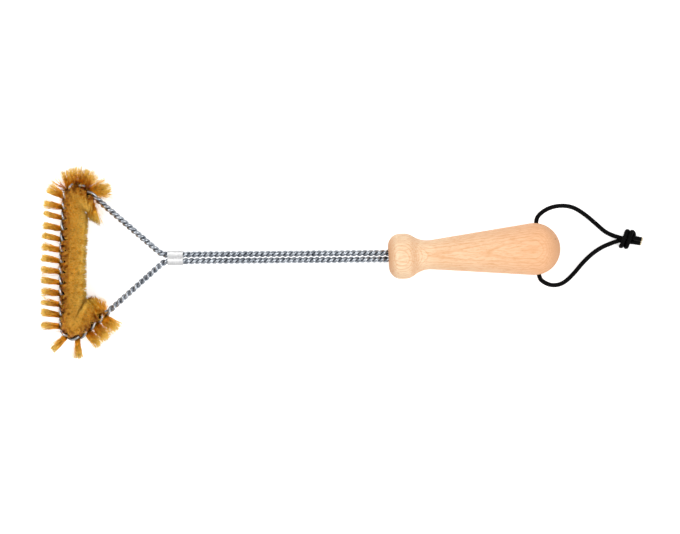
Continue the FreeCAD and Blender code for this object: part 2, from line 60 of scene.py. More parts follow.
def linear(hex_colour):
    """An sRGB hex colour as linear red, green, blue and alpha."""
    channels = [int(hex_colour[at:at + 2], 16) / 255 for at in (1, 3, 5)]
    return tuple(c / 12.92 if c <= 0.04045 else ((c + 0.055) / 1.055) ** 2.4
                 for c in channels) + (1.0,)


# ------------------------------------------------------------------ settings

def colour_setting(name, description, hex_colour):
    return FloatVectorProperty(
        name=name, description=description, subtype="COLOR", size=4, min=0.0, max=1.0,
        default=linear(hex_colour))


def length_setting(name, description, millimetres):
    return FloatProperty(
        name=name, description=description, unit="LENGTH", subtype="DISTANCE", min=0.0,
        precision=5, default=millimetres * MM)


class BristleSettings(bpy.types.PropertyGroup):
    """Brass filaments held between the two wires of the head."""
    filaments: IntProperty(
        name="Filaments", description="Filaments in one tuft, each with two ends",
        default=540, min=20, max=3000)
    filament: length_setting("Filament", "Diameter of one brass filament", 0.34)
    trim_radius: length_setting("Trim radius", "Radius that the tips are trimmed to", 20.2)
    trim_offset: length_setting("Trim offset", "Trimming circle's shift to the inner side", 1.6)
    crimp: length_setting("Crimp", "Waviness of a filament", 0.32)
    # The root colour is partly tarnish and partly painted shade where the filaments leave the wires.
    root: colour_setting("Root", "Tarnished brass between the wires", "#2A1A03")
    middle: colour_setting("Middle", "Brass half way up a filament", "#FFB02A")
    upper: colour_setting("Upper", "Brass near the tips", "#FFC03A")
    # The tip colour is a painted highlight on the trimmed ends.
    tip: colour_setting("Tip", "Bright brass of the trimmed tips", "#FFD468")


class WireSettings(bpy.types.PropertyGroup):
    """Galvanised steel wire of the shaft, arms and head."""
    light: colour_setting("Light zinc", "Bright crystals of the zinc", "#C3C8CE")
    dark: colour_setting("Dark zinc", "Dull crystals of the zinc", "#8D939B")
    sleeve: colour_setting("Sleeve", "Crimped aluminium sleeve", "#FAFAFA")
    scuffed: colour_setting("Scuffed sleeve", "Duller aluminium in its scuffs", "#E6E6E6")


class HandleSettings(bpy.types.PropertyGroup):
    """Turned beech handle, sanded and left bare."""
    early: colour_setting("Early wood", "Pale wood between the ring lines", "#FFE6C2")
    early_end: colour_setting("Early wood at the end", "Pinker wood of the grip", "#FBC497")
    late: colour_setting("Late wood", "Darker ring lines", "#E5A268")
    fleck: colour_setting("Ray fleck", "Short brown rays along the grain", "#D08F58")
    end_grain: colour_setting("End grain", "Wood cut across its fibres", "#DBA273")
    pin_knot: colour_setting("Pin knot", "Small knot in the grip", "#6B4022")
    ring_spacing: length_setting("Ring spacing", "Width of one year's growth", 1.35)


class CordSettings(bpy.types.PropertyGroup):
    """Braided hanging cord."""
    diameter: length_setting("Diameter", "Braided cord", 3.9)
    braid_pitch: length_setting("Braid pitch", "One turn of a yarn round the cord", 13.0)
    yarn_relief: length_setting("Yarn relief", "How far a yarn stands out", 0.13)
    yarn: colour_setting("Yarn", "Black polyester yarn", "#060507")
    core: colour_setting("Core", "Undyed core at the cut ends", "#D9C9A8")


class StageSettings(bpy.types.PropertyGroup):
    """Camera, floor and lamps."""
    camera_height: length_setting("Camera height", "Camera above the brush", 2000.0)
    lens: FloatProperty(
        name="Lens", description="Focal length in millimetres", unit="CAMERA", default=122.4)
    floor_width: length_setting("Floor width", "Side of the square floor", 12000.0)
    lamp_power: FloatProperty(
        name="Lamp power", description="Power of each soft lamp", unit="POWER", default=17.0)
    sky: FloatProperty(name="Sky", description="Strength of the sky overhead", default=0.7)
    floor_colour: colour_setting("Floor", "Pale matt floor", "#F2F2F2")


# ------------------------------------------------------------------ small helpers

def grey(value):
    """A linear grey, for masks."""
    return (value, value, value, 1.0)


def add_node(tree, kind, inputs=None, output=0, stops=(), **settings):
    """Adds a shader node with its properties, sets or links its inputs, and sets a colour ramp's
    (position, colour) stops. Returns the wanted output."""
    made = tree.nodes.new("ShaderNode" + kind)
    for name, value in settings.items():
        setattr(made, name, value)
    for socket, value in (inputs or {}).items():
        if isinstance(value, bpy.types.NodeSocket):
            tree.links.new(value, made.inputs[socket])
        else:
            made.inputs[socket].default_value = value
    if stops:
        points = made.color_ramp.elements
        while len(points) < len(stops):
            points.new(0.5)
        for point, (position, colour) in zip(points, stops):
            point.position = position
            point.color = colour
    return made.outputs[output] if made.outputs else None


def new_material(name):
    """A material with an empty node tree, and that tree."""
    material = bpy.data.materials.new(name)
    material.use_nodes = True
    material.node_tree.nodes.clear()
    return material, material.node_tree


def mesh_object(name, points, faces, material, **point_values):
    """A smooth mesh object from an array of points and a list of faces. A material reads the values
    at its points by their names."""
    mesh = bpy.data.meshes.new(name)
    mesh.from_pydata(points.tolist(), [], faces)
    mesh.polygons.foreach_set("use_smooth", np.full(len(mesh.polygons), True))
    mesh.update()
    for label, values in point_values.items():
        mesh.attributes.new(label, "FLOAT", "POINT").data.foreach_set("value", values)
    made = bpy.data.objects.new(name, mesh)
    bpy.context.scene.collection.objects.link(made)
    mesh.materials.append(material)
    return made


def finish_nodes(names, material):
    """Gives CAD nodes their finish."""
    for name in names:
        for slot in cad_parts[name].material_slots:
            slot.material = material


def named_nodes(part):
    return sorted(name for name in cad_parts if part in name)


# ------------------------------------------------------------------ line of the bristled rope

# Corners and bends of the rope in the brush's own plane, in millimetres, X from the crimped sleeve
# towards the handle. The loop is followed from the upper rope in the handle round to the lower one.
LOOP_CORNERS = ((250.0, 2.9), (-5.7, 2.9), (-88.2, 74.6), (-92.8, -2.0), (-93.2, -81.6),
                (-3.9, -2.9), (250.0, -2.9))
LOOP_RADII = (12.0, 10.3, 150.0, 10.8, 12.0)
# The brush lies on its bristles and on the round end of the handle.
LIE_ANGLE = math.radians(0.40649)
LIE_SHIFT = np.array([-113.1907, 2.4883, 20.2584])
# A tuft fills half a turn of the twist, in millimetres. The first one starts ahead of its bend.
HALF_TURN = 18.7 / 2
TUFT_COUNT = 21
FIRST_TUFT_LEAD = 5.2
# The two bends at the ends of the front.
TOP_BEND, BOTTOM_BEND = 1, 3


class RopeLine:
    """Straight runs and arcs of the rope's middle line, followed by distance in millimetres."""

    def __init__(self):
        rows, self.bends, length = [], [], 0.0
        start = np.array(LOOP_CORNERS[0])
        for before, corner, after, radius in zip(
                LOOP_CORNERS, LOOP_CORNERS[1:], LOOP_CORNERS[2:], LOOP_RADII):
            before, corner, after = map(np.array, (before, corner, after))
            heading = math.atan2(*(corner - before)[::-1])
            turn = math.remainder(math.atan2(*(after - corner)[::-1]) - heading, 2 * math.pi)
            setback = radius * math.tan(abs(turn) / 2)
            along = np.array([math.cos(heading), math.sin(heading)])
            arc_start = corner - along * setback
            run = float(np.linalg.norm(arc_start - start))
            rows.append((length, *start, heading, 0.0))
            length += run
            rows.append((length, *arc_start, heading, math.copysign(1 / radius, turn)))
            self.bends.append((length, length + radius * abs(turn), setback, turn))
            length += radius * abs(turn)
            onward = np.array([math.cos(heading + turn), math.sin(heading + turn)])
            start = corner + onward * setback
        last = np.array(LOOP_CORNERS[-1])
        rows.append((length, *start, math.atan2(*(last - start)[::-1]), 0.0))
        self.rows = np.array(rows)

    def at(self, distance):
        """Points (n, 2) and headings (n) at distances along the rope."""
        row = self.rows[np.searchsorted(self.rows[:, 0], distance, side="right") - 1]
        past = distance - row[:, 0]
        heading, curvature = row[:, 3], row[:, 4]
        turned = heading + curvature * past
        bent = np.abs(curvature) > 0
        safe = np.where(bent, curvature, 1.0)
        step_x = np.where(bent, (np.sin(turned) - np.sin(heading)) / safe, np.cos(heading) * past)
        step_y = np.where(bent, (np.cos(heading) - np.cos(turned)) / safe, np.sin(heading) * past)
        return np.stack([row[:, 1] + step_x, row[:, 2] + step_y], axis=1), turned


def lay_down(points):
    """From the brush's own plane, in millimetres, to where it lies, in metres."""
    x, y, z = points[..., 0], points[..., 1], points[..., 2]
    cosine, sine = math.cos(LIE_ANGLE), math.sin(LIE_ANGLE)
    laid = np.stack([x * cosine - z * sine, y, x * sine + z * cosine], axis=-1)
    return (laid + LIE_SHIFT) * MM


# ------------------------------------------------------------------ materials

def galvanised_steel(settings):
    """Hot-dip galvanised steel wire, drawn and then twisted: pale and dull crystals a few
    millimetres wide, soft highlights, and faint die lines. Crystals and lines are drawn coarser
    than the real ones, which are too fine to show."""
    crystal, cloud, die_line = 3.0 * MM, 7.0 * MM, 0.6 * MM
    material, tree = new_material("galvanised_steel_wire")
    place = add_node(tree, "TexCoord", output="Object")
    crystals = add_node(tree, "TexVoronoi", {"Vector": place, "Scale": 1 / crystal},
                        output="Color")
    clouds = add_node(tree, "TexNoise", {"Vector": place, "Scale": 1 / cloud, "Detail": 4.0})
    lines = add_node(tree, "TexNoise", {"Vector": place, "Scale": 1 / die_line, "Detail": 3.0})
    shade = add_node(tree, "SeparateColor", {"Color": crystals})
    cloud_share = add_node(tree, "Math", {0: clouds, 1: 0.55}, operation="MULTIPLY")
    blend = add_node(tree, "Math", {0: shade, 1: 0.45, 2: cloud_share}, operation="MULTIPLY_ADD")
    colour = add_node(tree, "ValToRGB", {"Fac": blend}, stops=[
        (0.25, settings.dark), (0.75, settings.light)])
    rough = add_node(tree, "Math", {0: clouds, 1: 0.16, 2: 0.24}, operation="MULTIPLY_ADD")
    bump = add_node(tree, "Bump", {"Height": lines, "Distance": 0.04 * MM, "Strength": 0.6})
    shader = add_node(tree, "BsdfPrincipled", {
        "Base Color": colour, "Metallic": 1.0, "Roughness": rough, "Normal": bump})
    add_node(tree, "OutputMaterial", {"Surface": shader})
    return material


def drawn_aluminium(settings):
    """Drawn aluminium sleeve, crimped: pale, smooth and satin, with light scuffs round it."""
    scuff = 1.6 * MM
    material, tree = new_material("drawn_aluminium_sleeve")
    place = add_node(tree, "TexCoord", output="Object")
    across = add_node(tree, "Mapping", {"Vector": place, "Scale": (4.0, 1.0, 1.0)})
    scuffs = add_node(tree, "TexNoise", {"Vector": across, "Scale": 1 / scuff, "Detail": 5.0})
    rough = add_node(tree, "Math", {0: scuffs, 1: 0.2, 2: 0.28}, operation="MULTIPLY_ADD")
    colour = add_node(tree, "ValToRGB", {"Fac": scuffs}, stops=[
        (0.3, settings.scuffed), (0.6, settings.sleeve)])
    bump = add_node(tree, "Bump", {"Height": scuffs, "Distance": 0.03 * MM, "Strength": 0.5})
    shader = add_node(tree, "BsdfPrincipled", {
        "Base Color": colour, "Metallic": 1.0, "Roughness": rough, "Normal": bump})
    add_node(tree, "OutputMaterial", {"Surface": shader})
    return material


def drawn_brass(settings):
    """Hard-drawn brass filaments: brown where they leave the wires, partly from tarnish and partly
    from painted shade, bright and a little paler at the trimmed tips by a painted highlight, each a
    slightly different tone. Its painted glints, brighter and darker patches, are drawn a few
    millimetres wide, since the real ones are too fine to show."""
    patch = 2.4 * MM
    material, tree = new_material("drawn_brass_filament")
    reach = add_node(tree, "Attribute", output="Fac", attribute_name="reach")
    tone = add_node(tree, "Attribute", output="Fac", attribute_name="tone")
    # Dark at the roots by tarnish and painted shade, with a painted highlight at the tips.
    colour = add_node(tree, "ValToRGB", {"Fac": reach}, stops=[
        (0.12, settings.root), (0.34, settings.middle), (0.8, settings.upper),
        (1.0, settings.tip)])
    # Painted glints: patches that brighten and darken each filament's brass.
    patches = add_node(tree, "TexNoise", {
        "Vector": add_node(tree, "TexCoord", output="Object"), "Scale": 1 / patch, "Detail": 3.0})
    centred_glints = add_node(tree, "Math", {0: patches, 1: 0.5}, operation="SUBTRACT")
    own = add_node(tree, "Math", {0: tone, 1: 0.3, 2: 0.86}, operation="MULTIPLY_ADD")
    shade = add_node(tree, "Math", {0: centred_glints, 1: 1.9, 2: own}, operation="MULTIPLY_ADD",
                     use_clamp=True)
    toned = add_node(tree, "VectorMath", {0: colour, 1: shade}, operation="MULTIPLY")
    shader = add_node(tree, "BsdfPrincipled", {
        "Base Color": toned, "Metallic": 1.0, "Roughness": 0.36})
    add_node(tree, "OutputMaterial", {"Surface": shader})
    return material


def year_rings(tree, place, spacing):
    """Year rings: layers about a pith far below the handle, a little wavy. They lean along the
    grain, since a stem narrows upwards, so the turned shape cuts them into long tongues."""
    pith_depth, pith_aside, waviness, wave, lean = 0.085, 0.004, 2.6 * MM, 22.0 * MM, -0.088
    waves = add_node(tree, "TexNoise", {
        "Vector": add_node(tree, "Mapping", {"Vector": place, "Scale": (0.35, 1.0, 1.0)}),
        "Scale": 1 / wave, "Detail": 2.0, "Roughness": 0.4})
    seen_from_pith = add_node(tree, "Mapping", {
        "Vector": place, "Location": (0.0, -pith_aside, pith_depth), "Scale": (0.0, 1.0, 1.0)})
    distance = add_node(tree, "VectorMath", {0: seen_from_pith}, output="Value",
                        operation="LENGTH")
    wavy = add_node(tree, "Math", {0: waves, 1: waviness, 2: distance}, operation="MULTIPLY_ADD")
    along = add_node(tree, "SeparateXYZ", {"Vector": place})
    leaning = add_node(tree, "Math", {0: along, 1: lean, 2: wavy}, operation="MULTIPLY_ADD")
    count = add_node(tree, "Math", {0: leaning, 1: spacing}, operation="DIVIDE")
    within = add_node(tree, "Math", {0: count}, operation="FRACT")
    return add_node(tree, "ValToRGB", {"Fac": within}, stops=[
        (0.0, grey(0.0)), (0.62, grey(0.16)), (0.9, grey(0.85)), (1.0, grey(0.0))])


def turned_beech(settings):
    """Steamed beech, turned and sanded, with no finish: faint ring lines in layers, short brown
    ray flecks and fine pores along the grain, and darker end grain at the round end."""
    pore, patch, ray = 1.1 * MM, 30.0 * MM, 1.5 * MM
    material, tree = new_material("turned_beech")
    hole_low, hole_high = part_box("cord_in_handle")
    middle = (hole_low + hole_high) / 2
    place = add_node(tree, "TexCoord", output="Object")
    from_hole = add_node(tree, "VectorMath", {0: place, 1: middle}, operation="SUBTRACT")
    turned = add_node(tree, "Mapping", {
        "Vector": from_hole, "Rotation": (0.0, 0.0, -HANDLE_TILT)})
    rings = year_rings(tree, turned, settings.ring_spacing)

    # Pores and fibres: streaks about eight times as long as they are wide, and coarser than real
    # pores, which are too fine to show.
    streaks = add_node(tree, "TexNoise", {
        "Vector": add_node(tree, "Mapping", {"Vector": turned, "Scale": (0.13, 1.0, 1.0)}),
        "Scale": 1 / pore, "Detail": 3.0, "Roughness": 0.62})
    patches = add_node(tree, "TexNoise", {"Vector": turned, "Scale": 1 / patch, "Detail": 2.0})
    rays = add_node(tree, "TexVoronoi", {
        "Vector": add_node(tree, "Mapping", {"Vector": turned, "Scale": (0.28, 1.0, 1.0)}),
        "Scale": 1 / ray})
    fleck = add_node(tree, "ValToRGB", {"Fac": rays}, stops=[(0.06, grey(1.0)), (0.17, grey(0.0))])

    # From pale wood at the bulb to pinker wood at the round end.
    along = add_node(tree, "SeparateXYZ", {"Vector": turned})
    pink_length = 0.13
    pinkness = add_node(tree, "Math", {0: along, 1: 1 / pink_length, 2: 1.0},
                        operation="MULTIPLY_ADD", use_clamp=True)
    facing = add_node(tree, "SeparateXYZ", {
        "Vector": add_node(tree, "NewGeometry", output="Normal")})
    facing_end = add_node(tree, "Math", {0: facing}, operation="ABSOLUTE")
    # One pin knot in the grip, a little longer than it is wide.
    pin_x, pin_y, pin_radius, pin_narrowing = 0.2199, 0.0159, 0.6 * MM, 1.6
    pin_place = add_node(tree, "Mapping", {"Vector": place, "Scale": (1.0, pin_narrowing, 0.0)})
    from_pin = add_node(tree, "VectorMath", {
        0: pin_place, 1: (pin_x, pin_y * pin_narrowing, 0.0)}, output="Value",
        operation="DISTANCE")
    pin_reach = add_node(tree, "Math", {0: from_pin, 1: pin_radius}, operation="DIVIDE")
    pin = add_node(tree, "Math", {0: 1.5, 1: pin_reach}, operation="SUBTRACT", use_clamp=True)

    # A mix node's colours are its inputs 6 and 7 and its output 2.
    colour = add_node(tree, "Mix", {0: pinkness, 6: settings.early, 7: settings.early_end},
                      output=2, data_type="RGBA")
    # Each layer's cover, where the cover starts, its strength above that and its colour.
    layers = (
        (rings, 0.0, 0.62, settings.late), (streaks, 0.44, 2.6, settings.late),
        (patches, 0.5, 1.0, settings.late), (fleck, 0.0, 0.5, settings.fleck),
        (facing_end, 0.3, 1.5, settings.end_grain), (pin, 0.0, 0.7, settings.pin_knot))
    for cover, start, strength, layer in layers:
        share = add_node(tree, "Math", {0: cover, 1: strength, 2: -start * strength},
                         operation="MULTIPLY_ADD", use_clamp=True)
        colour = add_node(tree, "Mix", {0: share, 6: colour, 7: layer}, output=2,
                          data_type="RGBA")

    sunk = add_node(tree, "Math", {0: fleck, 1: -0.4}, operation="MULTIPLY")
    height = add_node(tree, "Math", {0: streaks, 1: 0.5, 2: sunk}, operation="MULTIPLY_ADD")
    bump = add_node(tree, "Bump", {"Height": height, "Distance": 0.05 * MM, "Strength": 0.7})
    shader = add_node(tree, "BsdfPrincipled", {
        "Base Color": colour, "Roughness": 0.62, "IOR": 1.5, "Normal": bump})
    add_node(tree, "OutputMaterial", {"Surface": shader})
    return material


def braided_polyester(settings):
    """Braided polyester: black matt yarns, blackest between them by painted shade, slightly fuzzy,
    and undyed at the cut ends. The fuzz is drawn coarser than real fibres, which are too fine to show."""
    fuzz_width = 0.5 * MM
    material, tree = new_material("braided_polyester_cord")
    place = add_node(tree, "TexCoord", output="Object")
    fuzz = add_node(tree, "TexNoise", {"Vector": place, "Scale": 1 / fuzz_width, "Detail": 4.0})
    raised = add_node(tree, "Attribute", output="Fac", attribute_name="raised")
    bare = add_node(tree, "Attribute", output="Fac", attribute_name="bare")
    fuzz_share = add_node(tree, "Math", {0: fuzz, 1: 0.4}, operation="MULTIPLY")
    # Painted shade: the yarn colour falls to black in the grooves between the yarns.
    painted_groove_shade = add_node(tree, "Math", {0: raised, 1: 0.6, 2: fuzz_share}, operation="MULTIPLY_ADD")
    yarn = add_node(tree, "ValToRGB", {"Fac": painted_groove_shade}, stops=[(0.35, grey(0.0)), (0.8, settings.yarn)])
    colour = add_node(tree, "Mix", {0: bare, 6: yarn, 7: settings.core}, output=2,
                      data_type="RGBA")
    bump = add_node(tree, "Bump", {"Height": fuzz, "Distance": 0.06 * MM, "Strength": 0.6})
    shader = add_node(tree, "BsdfPrincipled", {
        "Base Color": colour, "Roughness": 0.6, "IOR": 1.57, "Specular IOR Level": 0.06,
        "Normal": bump})
    add_node(tree, "OutputMaterial", {"Surface": shader})
    return material


# ------------------------------------------------------------------ stage

# The camera looks straight down on this point, in millimetres, turned by this angle.
CAMERA_AIM = (34.8, -6.55, 20.0)
CAMERA_TURN = math.radians(-0.49)
CAMERA_FAR = 50.0
# Soft square lamps, in metres.
LAMPS = {"lamp_left": (-1.1, 0.9, 1.7), "lamp_right": (1.2, -0.8, 1.7)}
LAMP_SIDE = 1.1
FLOOR_GLOW = 0.55
# The sky's brightness at heights from the horizon to overhead.
SKY_LEVELS = ((0.0, (0.8, 0.8, 0.8, 1.0)), (0.5, (0.82, 0.82, 0.83, 1.0)),
              (0.95, (1.0, 1.0, 1.0, 1.0)))


class BRUSH_OT_stage(bpy.types.Operator):
    """Camera straight above, pale floor and soft lamps"""
    bl_idname = "brush.stage"
    bl_label = "Stage"

    def execute(self, context):
        settings = context.scene.brush_stage
        scene = context.scene
        scene.view_settings.view_transform = "Standard"

        aim = Vector(CAMERA_AIM) * MM
        camera_data = bpy.data.cameras.new("camera")
        camera_data.lens = settings.lens
        camera_data.clip_end = CAMERA_FAR
        camera = bpy.data.objects.new("camera", camera_data)
        camera.location = aim + Vector((0, 0, settings.camera_height))
        camera.rotation_euler = (0.0, 0.0, CAMERA_TURN)
        scene.collection.objects.link(camera)
        scene.camera = camera

        half = settings.floor_width / 2
        corners = np.array([(-half, -half, 0), (half, -half, 0), (half, half, 0), (-half, half, 0)])
        floor = mesh_object("floor", corners, [(0, 1, 2, 3)], self.floor_material(settings))

        for name, place in LAMPS.items():
            lamp_data = bpy.data.lights.new(name, "AREA")
            lamp_data.shape = "SQUARE"
            lamp_data.size = LAMP_SIDE
            lamp_data.energy = settings.lamp_power
            lamp = bpy.data.objects.new(name, lamp_data)
            lamp.location = Vector(place)
            lamp.rotation_euler = (aim - lamp.location).to_track_quat("-Z", "Y").to_euler()
            scene.collection.objects.link(lamp)
        self.sky(settings)
        return {"FINISHED"}

    def floor_material(self, settings):
        """Matt painted board. The lens, gloss and glass see it a little brighter than it is lit,
        so that it comes out white and still keeps the soft shadow."""
        material, tree = new_material("matt_white_board")
        seen = 0.0
        for ray in ("Is Camera Ray", "Is Glossy Ray", "Is Transmission Ray"):
            this_ray = add_node(tree, "LightPath", output=ray)
            seen = add_node(tree, "Math", {0: this_ray, 1: seen}, operation="MAXIMUM")
        strength = add_node(tree, "Math", {0: seen, 1: FLOOR_GLOW}, operation="MULTIPLY")
        glow = add_node(tree, "Emission", {"Strength": strength})
        diffuse = add_node(tree, "BsdfDiffuse", {"Color": settings.floor_colour})
        both = add_node(tree, "AddShader", {0: diffuse, 1: glow})
        add_node(tree, "OutputMaterial", {"Surface": both})
        return material

    def sky(self, settings):
        """Studio sky: brightest overhead, a little dimmer at the horizon."""
        world = bpy.data.worlds.new("studio_sky")
        bpy.context.scene.world = world
        world.use_nodes = True
        tree = world.node_tree
        tree.nodes.clear()
        way = add_node(tree, "TexCoord", output="Generated")
        rise = add_node(tree, "SeparateXYZ", {"Vector": way}, output="Z")
        colour = add_node(tree, "ValToRGB", {"Fac": rise}, stops=SKY_LEVELS)
        background = add_node(tree, "Background", {"Color": colour, "Strength": settings.sky})
        add_node(tree, "OutputWorld", {"Surface": background})


# ------------------------------------------------------------------ hanging cord

# Route of each leg, in millimetres: along the handle's axis from the cross hole, across it, and the
# height above the table. They are the control points of the legs' smooth lines. Each leg starts in
# the hole, at CORD_START, and comes out of its mouth at CORD_MOUTH.
CORD_START = 16.4
UPPER_LEG = (
    (0.0, 24.8, 22.4), (4.0, 30.3, 21.6), (12.4, 34.9, 18.8), (22.6, 36.6, 14.2),
    (33.8, 35.0, 8.8), (44.0, 28.5, 4.6), (54.4, 18.8, 2.4), (64.2, 9.0, 2.7), (74.0, 5.9, 4.6))
LOWER_LEG = (
    (0.0, -24.6, 22.4), (3.9, -29.2, 21.4), (12.2, -32.8, 18.0), (22.0, -31.2, 12.6),
    (31.4, -23.8, 7.4), (40.8, -13.9, 3.8), (51.0, -5.4, 2.3), (62.2, 0.4, 2.6), (73.0, 3.3, 4.4))
# Overhand knot tied in both legs together: each cord runs through the core, up round the far
# lobe, over the front, back underneath and out to its tail.
KNOT_UPPER = (
    (77.6, 4.8, 3.4), (82.4, 3.6, 2.4), (86.4, 5.4, 2.5), (86.6, 9.4, 3.6), (84.4, 10.8, 6.2),
    (82.6, 6.4, 7.5), (80.8, 2.0, 7.5), (79.4, -2.6, 6.2), (78.6, -2.4, 2.4), (79.0, 2.4, 2.1),
    (84.0, 5.6, 4.4))
KNOT_LOWER = (
    (76.6, 3.2, 3.8), (80.6, 4.4, 2.2), (82.4, 8.4, 2.2), (81.6, 11.2, 3.8), (80.0, 11.0, 6.6),
    (78.4, 6.8, 7.6), (76.4, 2.6, 7.5), (74.8, -1.8, 6.2), (74.4, -1.6, 2.4), (77.4, 0.4, 2.1),
    (81.4, 1.8, 2.2))
TAIL_UPPER = ((86.0, 5.0, 5.6), (92.6, 3.4, 5.8))
TAIL_LOWER = ((85.4, 1.4, 2.8), (91.6, 0.0, 2.4))
# The undyed core stands this far out of the cut jacket, and shows over this length, in millimetres.
CORE_PROUD = 1.2
BARE_LENGTH = 1.3
HANDLE_TILT = math.radians(2.67)


def cord_place(points):
    """From the handle's end to the brush's place on the table, in metres."""
    low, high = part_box("cord_in_handle")
    middle = (low + high) / 2
    seat = Matrix.Translation((middle.x, middle.y, 0)) @ Matrix.Rotation(HANDLE_TILT, 4, "Z")
    return [seat @ (Vector(point) * MM) for point in points]


def smooth_line(name, points):
    """Points along the smooth NURBS line that has these control points."""
    curve = bpy.data.curves.new(name, "CURVE")
    curve.dimensions = "3D"
    curve.resolution_u = 24
    spline = curve.splines.new("NURBS")
    spline.points.add(len(points) - 1)
    for control, point in zip(spline.points, points):
        control.co = (*point, 1.0)
    spline.order_u = 3
    spline.use_endpoint_u = True
    carrier = bpy.data.objects.new(name, curve)
    bpy.context.scene.collection.objects.link(carrier)
    bpy.context.view_layer.update()
    read = bpy.data.meshes.new_from_object(
        carrier.evaluated_get(bpy.context.evaluated_depsgraph_get()))
    line = np.array([vertex.co for vertex in read.vertices])
    bpy.data.objects.remove(carrier)
    bpy.data.curves.remove(curve)
    bpy.data.meshes.remove(read)
    return line


def resampled(line, spacing):
    """The same line with evenly spaced points, and their distances along it."""
    steps = np.linalg.norm(np.diff(line, axis=0), axis=1)
    keep = np.concatenate([[True], steps > 1e-7])
    line = line[keep]
    travelled = np.concatenate([[0.0], np.cumsum(np.linalg.norm(np.diff(line, axis=0), axis=1))])
    count = max(4, int(math.ceil(travelled[-1] / spacing)))
    wanted = np.linspace(0.0, travelled[-1], count + 1)
    return np.stack([np.interp(wanted, travelled, line[:, axis]) for axis in range(3)],
                    axis=1), wanted


def carried_frames(line):
    """A pair of cross directions at each point, carried along the line without twisting."""
    tangents = np.gradient(line, axis=0)
    tangents /= np.linalg.norm(tangents, axis=1)[:, None]
    first = np.cross(tangents[0], UP)
    if np.linalg.norm(first) < 1e-3:
        first = np.cross(tangents[0], (1.0, 0.0, 0.0))
    sides = [first / np.linalg.norm(first)]
    for tangent in tangents[1:]:
        side = sides[-1] - tangent * np.dot(sides[-1], tangent)
        sides.append(side / np.linalg.norm(side))
    sides = np.array(sides)
    return tangents, sides, np.cross(tangents, sides)


def braided_tube(name, line, settings, material, bare_end=0.0):
    """A tube along a line with the relief of its braid. bare_end is the undyed length at its end."""
    around, yarns = 48, 8
    spacing, fade, rounding, dome = 0.3 * MM, 0.4 * MM, 0.5 * MM, 0.2 * MM
    narrowing = 0.25
    line, distance = resampled(line, spacing)
    tangents, side, lift = carried_frames(line)
    angle = np.arange(around) * 2 * math.pi / around
    turn = angle[None, :] * yarns / 2
    travel = (distance / settings.braid_pitch * 2 * math.pi * yarns / 2)[:, None]
    weave = np.cos(turn + travel) * np.cos(turn - travel)
    total = distance[-1]
    bare = np.zeros(len(distance))
    if bare_end:
        bare = np.clip((distance - (total - bare_end)) / fade, 0, 1)
    # The cut ends are rounded over.
    from_end = np.minimum(distance, total - distance)
    shrink = 1 - narrowing * np.clip(1 - from_end / rounding, 0, 1) ** 2
    relief = settings.yarn_relief * 0.5
    radius = (settings.diameter / 2 - relief + relief * weave * (1 - bare[:, None]))
    radius *= shrink[:, None]
    ring = (side[:, None, :] * np.cos(angle)[None, :, None]
            + lift[:, None, :] * np.sin(angle)[None, :, None])
    points = (line[:, None, :] + ring * radius[:, :, None]).reshape(-1, 3)
    points = np.vstack([points, line[0] - tangents[0] * dome, line[-1] + tangents[-1] * dome])
    index = np.arange(len(line) * around).reshape(len(line), around)
    following = np.roll(index, -1, axis=1)
    walls = np.stack([index[:-1], following[:-1], following[1:], index[1:]], axis=-1)
    first_tip, last_tip = len(points) - 2, len(points) - 1
    faces = walls.reshape(-1, 4).tolist()
    faces += [(*pair, first_tip) for pair in zip(following[0].tolist(), index[0].tolist())]
    faces += [(*pair, last_tip) for pair in zip(index[-1].tolist(), following[-1].tolist())]
    # How far the braid stands out. The material turns this into painted shade in the grooves.
    raised = np.concatenate([((weave + 1) / 2).reshape(-1), [0.5, 0.5]])
    bareness = np.concatenate([np.repeat(bare, around), [0.0, 1.0 if bare_end else 0.0]])
    tube = mesh_object(name, points, faces, material, raised=raised, bare=bareness)
    return tube, line, float(total)


class BRUSH_OT_hanging_cord(bpy.types.Operator):
    """Two legs of braided cord, their knot and its two tails"""
    bl_idname = "brush.hanging_cord"
    bl_label = "Hanging Cord"

    def execute(self, context):
        settings = context.scene.brush_cord
        material = braided_polyester(settings)
        knot = self.knot(settings, material)
        low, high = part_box("cord_in_handle")
        hole_height = (low.z + high.z) / 2 / MM
        for name, leg, way in (
                ("cord_leg_upper", UPPER_LEG, 1), ("cord_leg_lower", LOWER_LEG, -1)):
            route = cord_place([(0.0, way * CORD_START, hole_height), *leg])
            line = smooth_line(name, route)
            piece, path, length = braided_tube(name + "_braid", line, settings, material)
            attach(piece, "hang_loop")
            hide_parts(name)
        finish_nodes(["cord_in_handle"], material)
        return {"FINISHED"}

    def knot(self, settings, material):
        """Both cords side by side through the overhand knot and out to their cut ends."""
        pieces = []
        ends = (("upper", UPPER_LEG, KNOT_UPPER, TAIL_UPPER),
                ("lower", LOWER_LEG, KNOT_LOWER, TAIL_LOWER))
        for name, leg, turns, tail in ends:
            heading = np.subtract(tail[-1], tail[-2])
            proud = np.array(tail[-1]) + heading / np.linalg.norm(heading) * CORE_PROUD
            route = [leg[-1], *turns, *tail, proud]
            piece, _path, _length = braided_tube(
                f"knot_cord_{name}", smooth_line(f"knot_{name}", cord_place(route)), settings,
                material, bare_end=BARE_LENGTH * MM)
            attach(piece, "hang_loop")
            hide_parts(f"cord_tail_{name}", "cord_knot")
            pieces.append(piece)
        return pieces


# ------------------------------------------------------------------ wire loop, sleeve and handle

class BRUSH_OT_wire_loop(bpy.types.Operator):
    """Galvanised finish of the twisted wires"""
    bl_idname = "brush.wire_loop"
    bl_label = "Wire Loop"

    def execute(self, context):
        finish_nodes(named_nodes("_wire_"), galvanised_steel(context.scene.brush_wire))
        return {"FINISHED"}


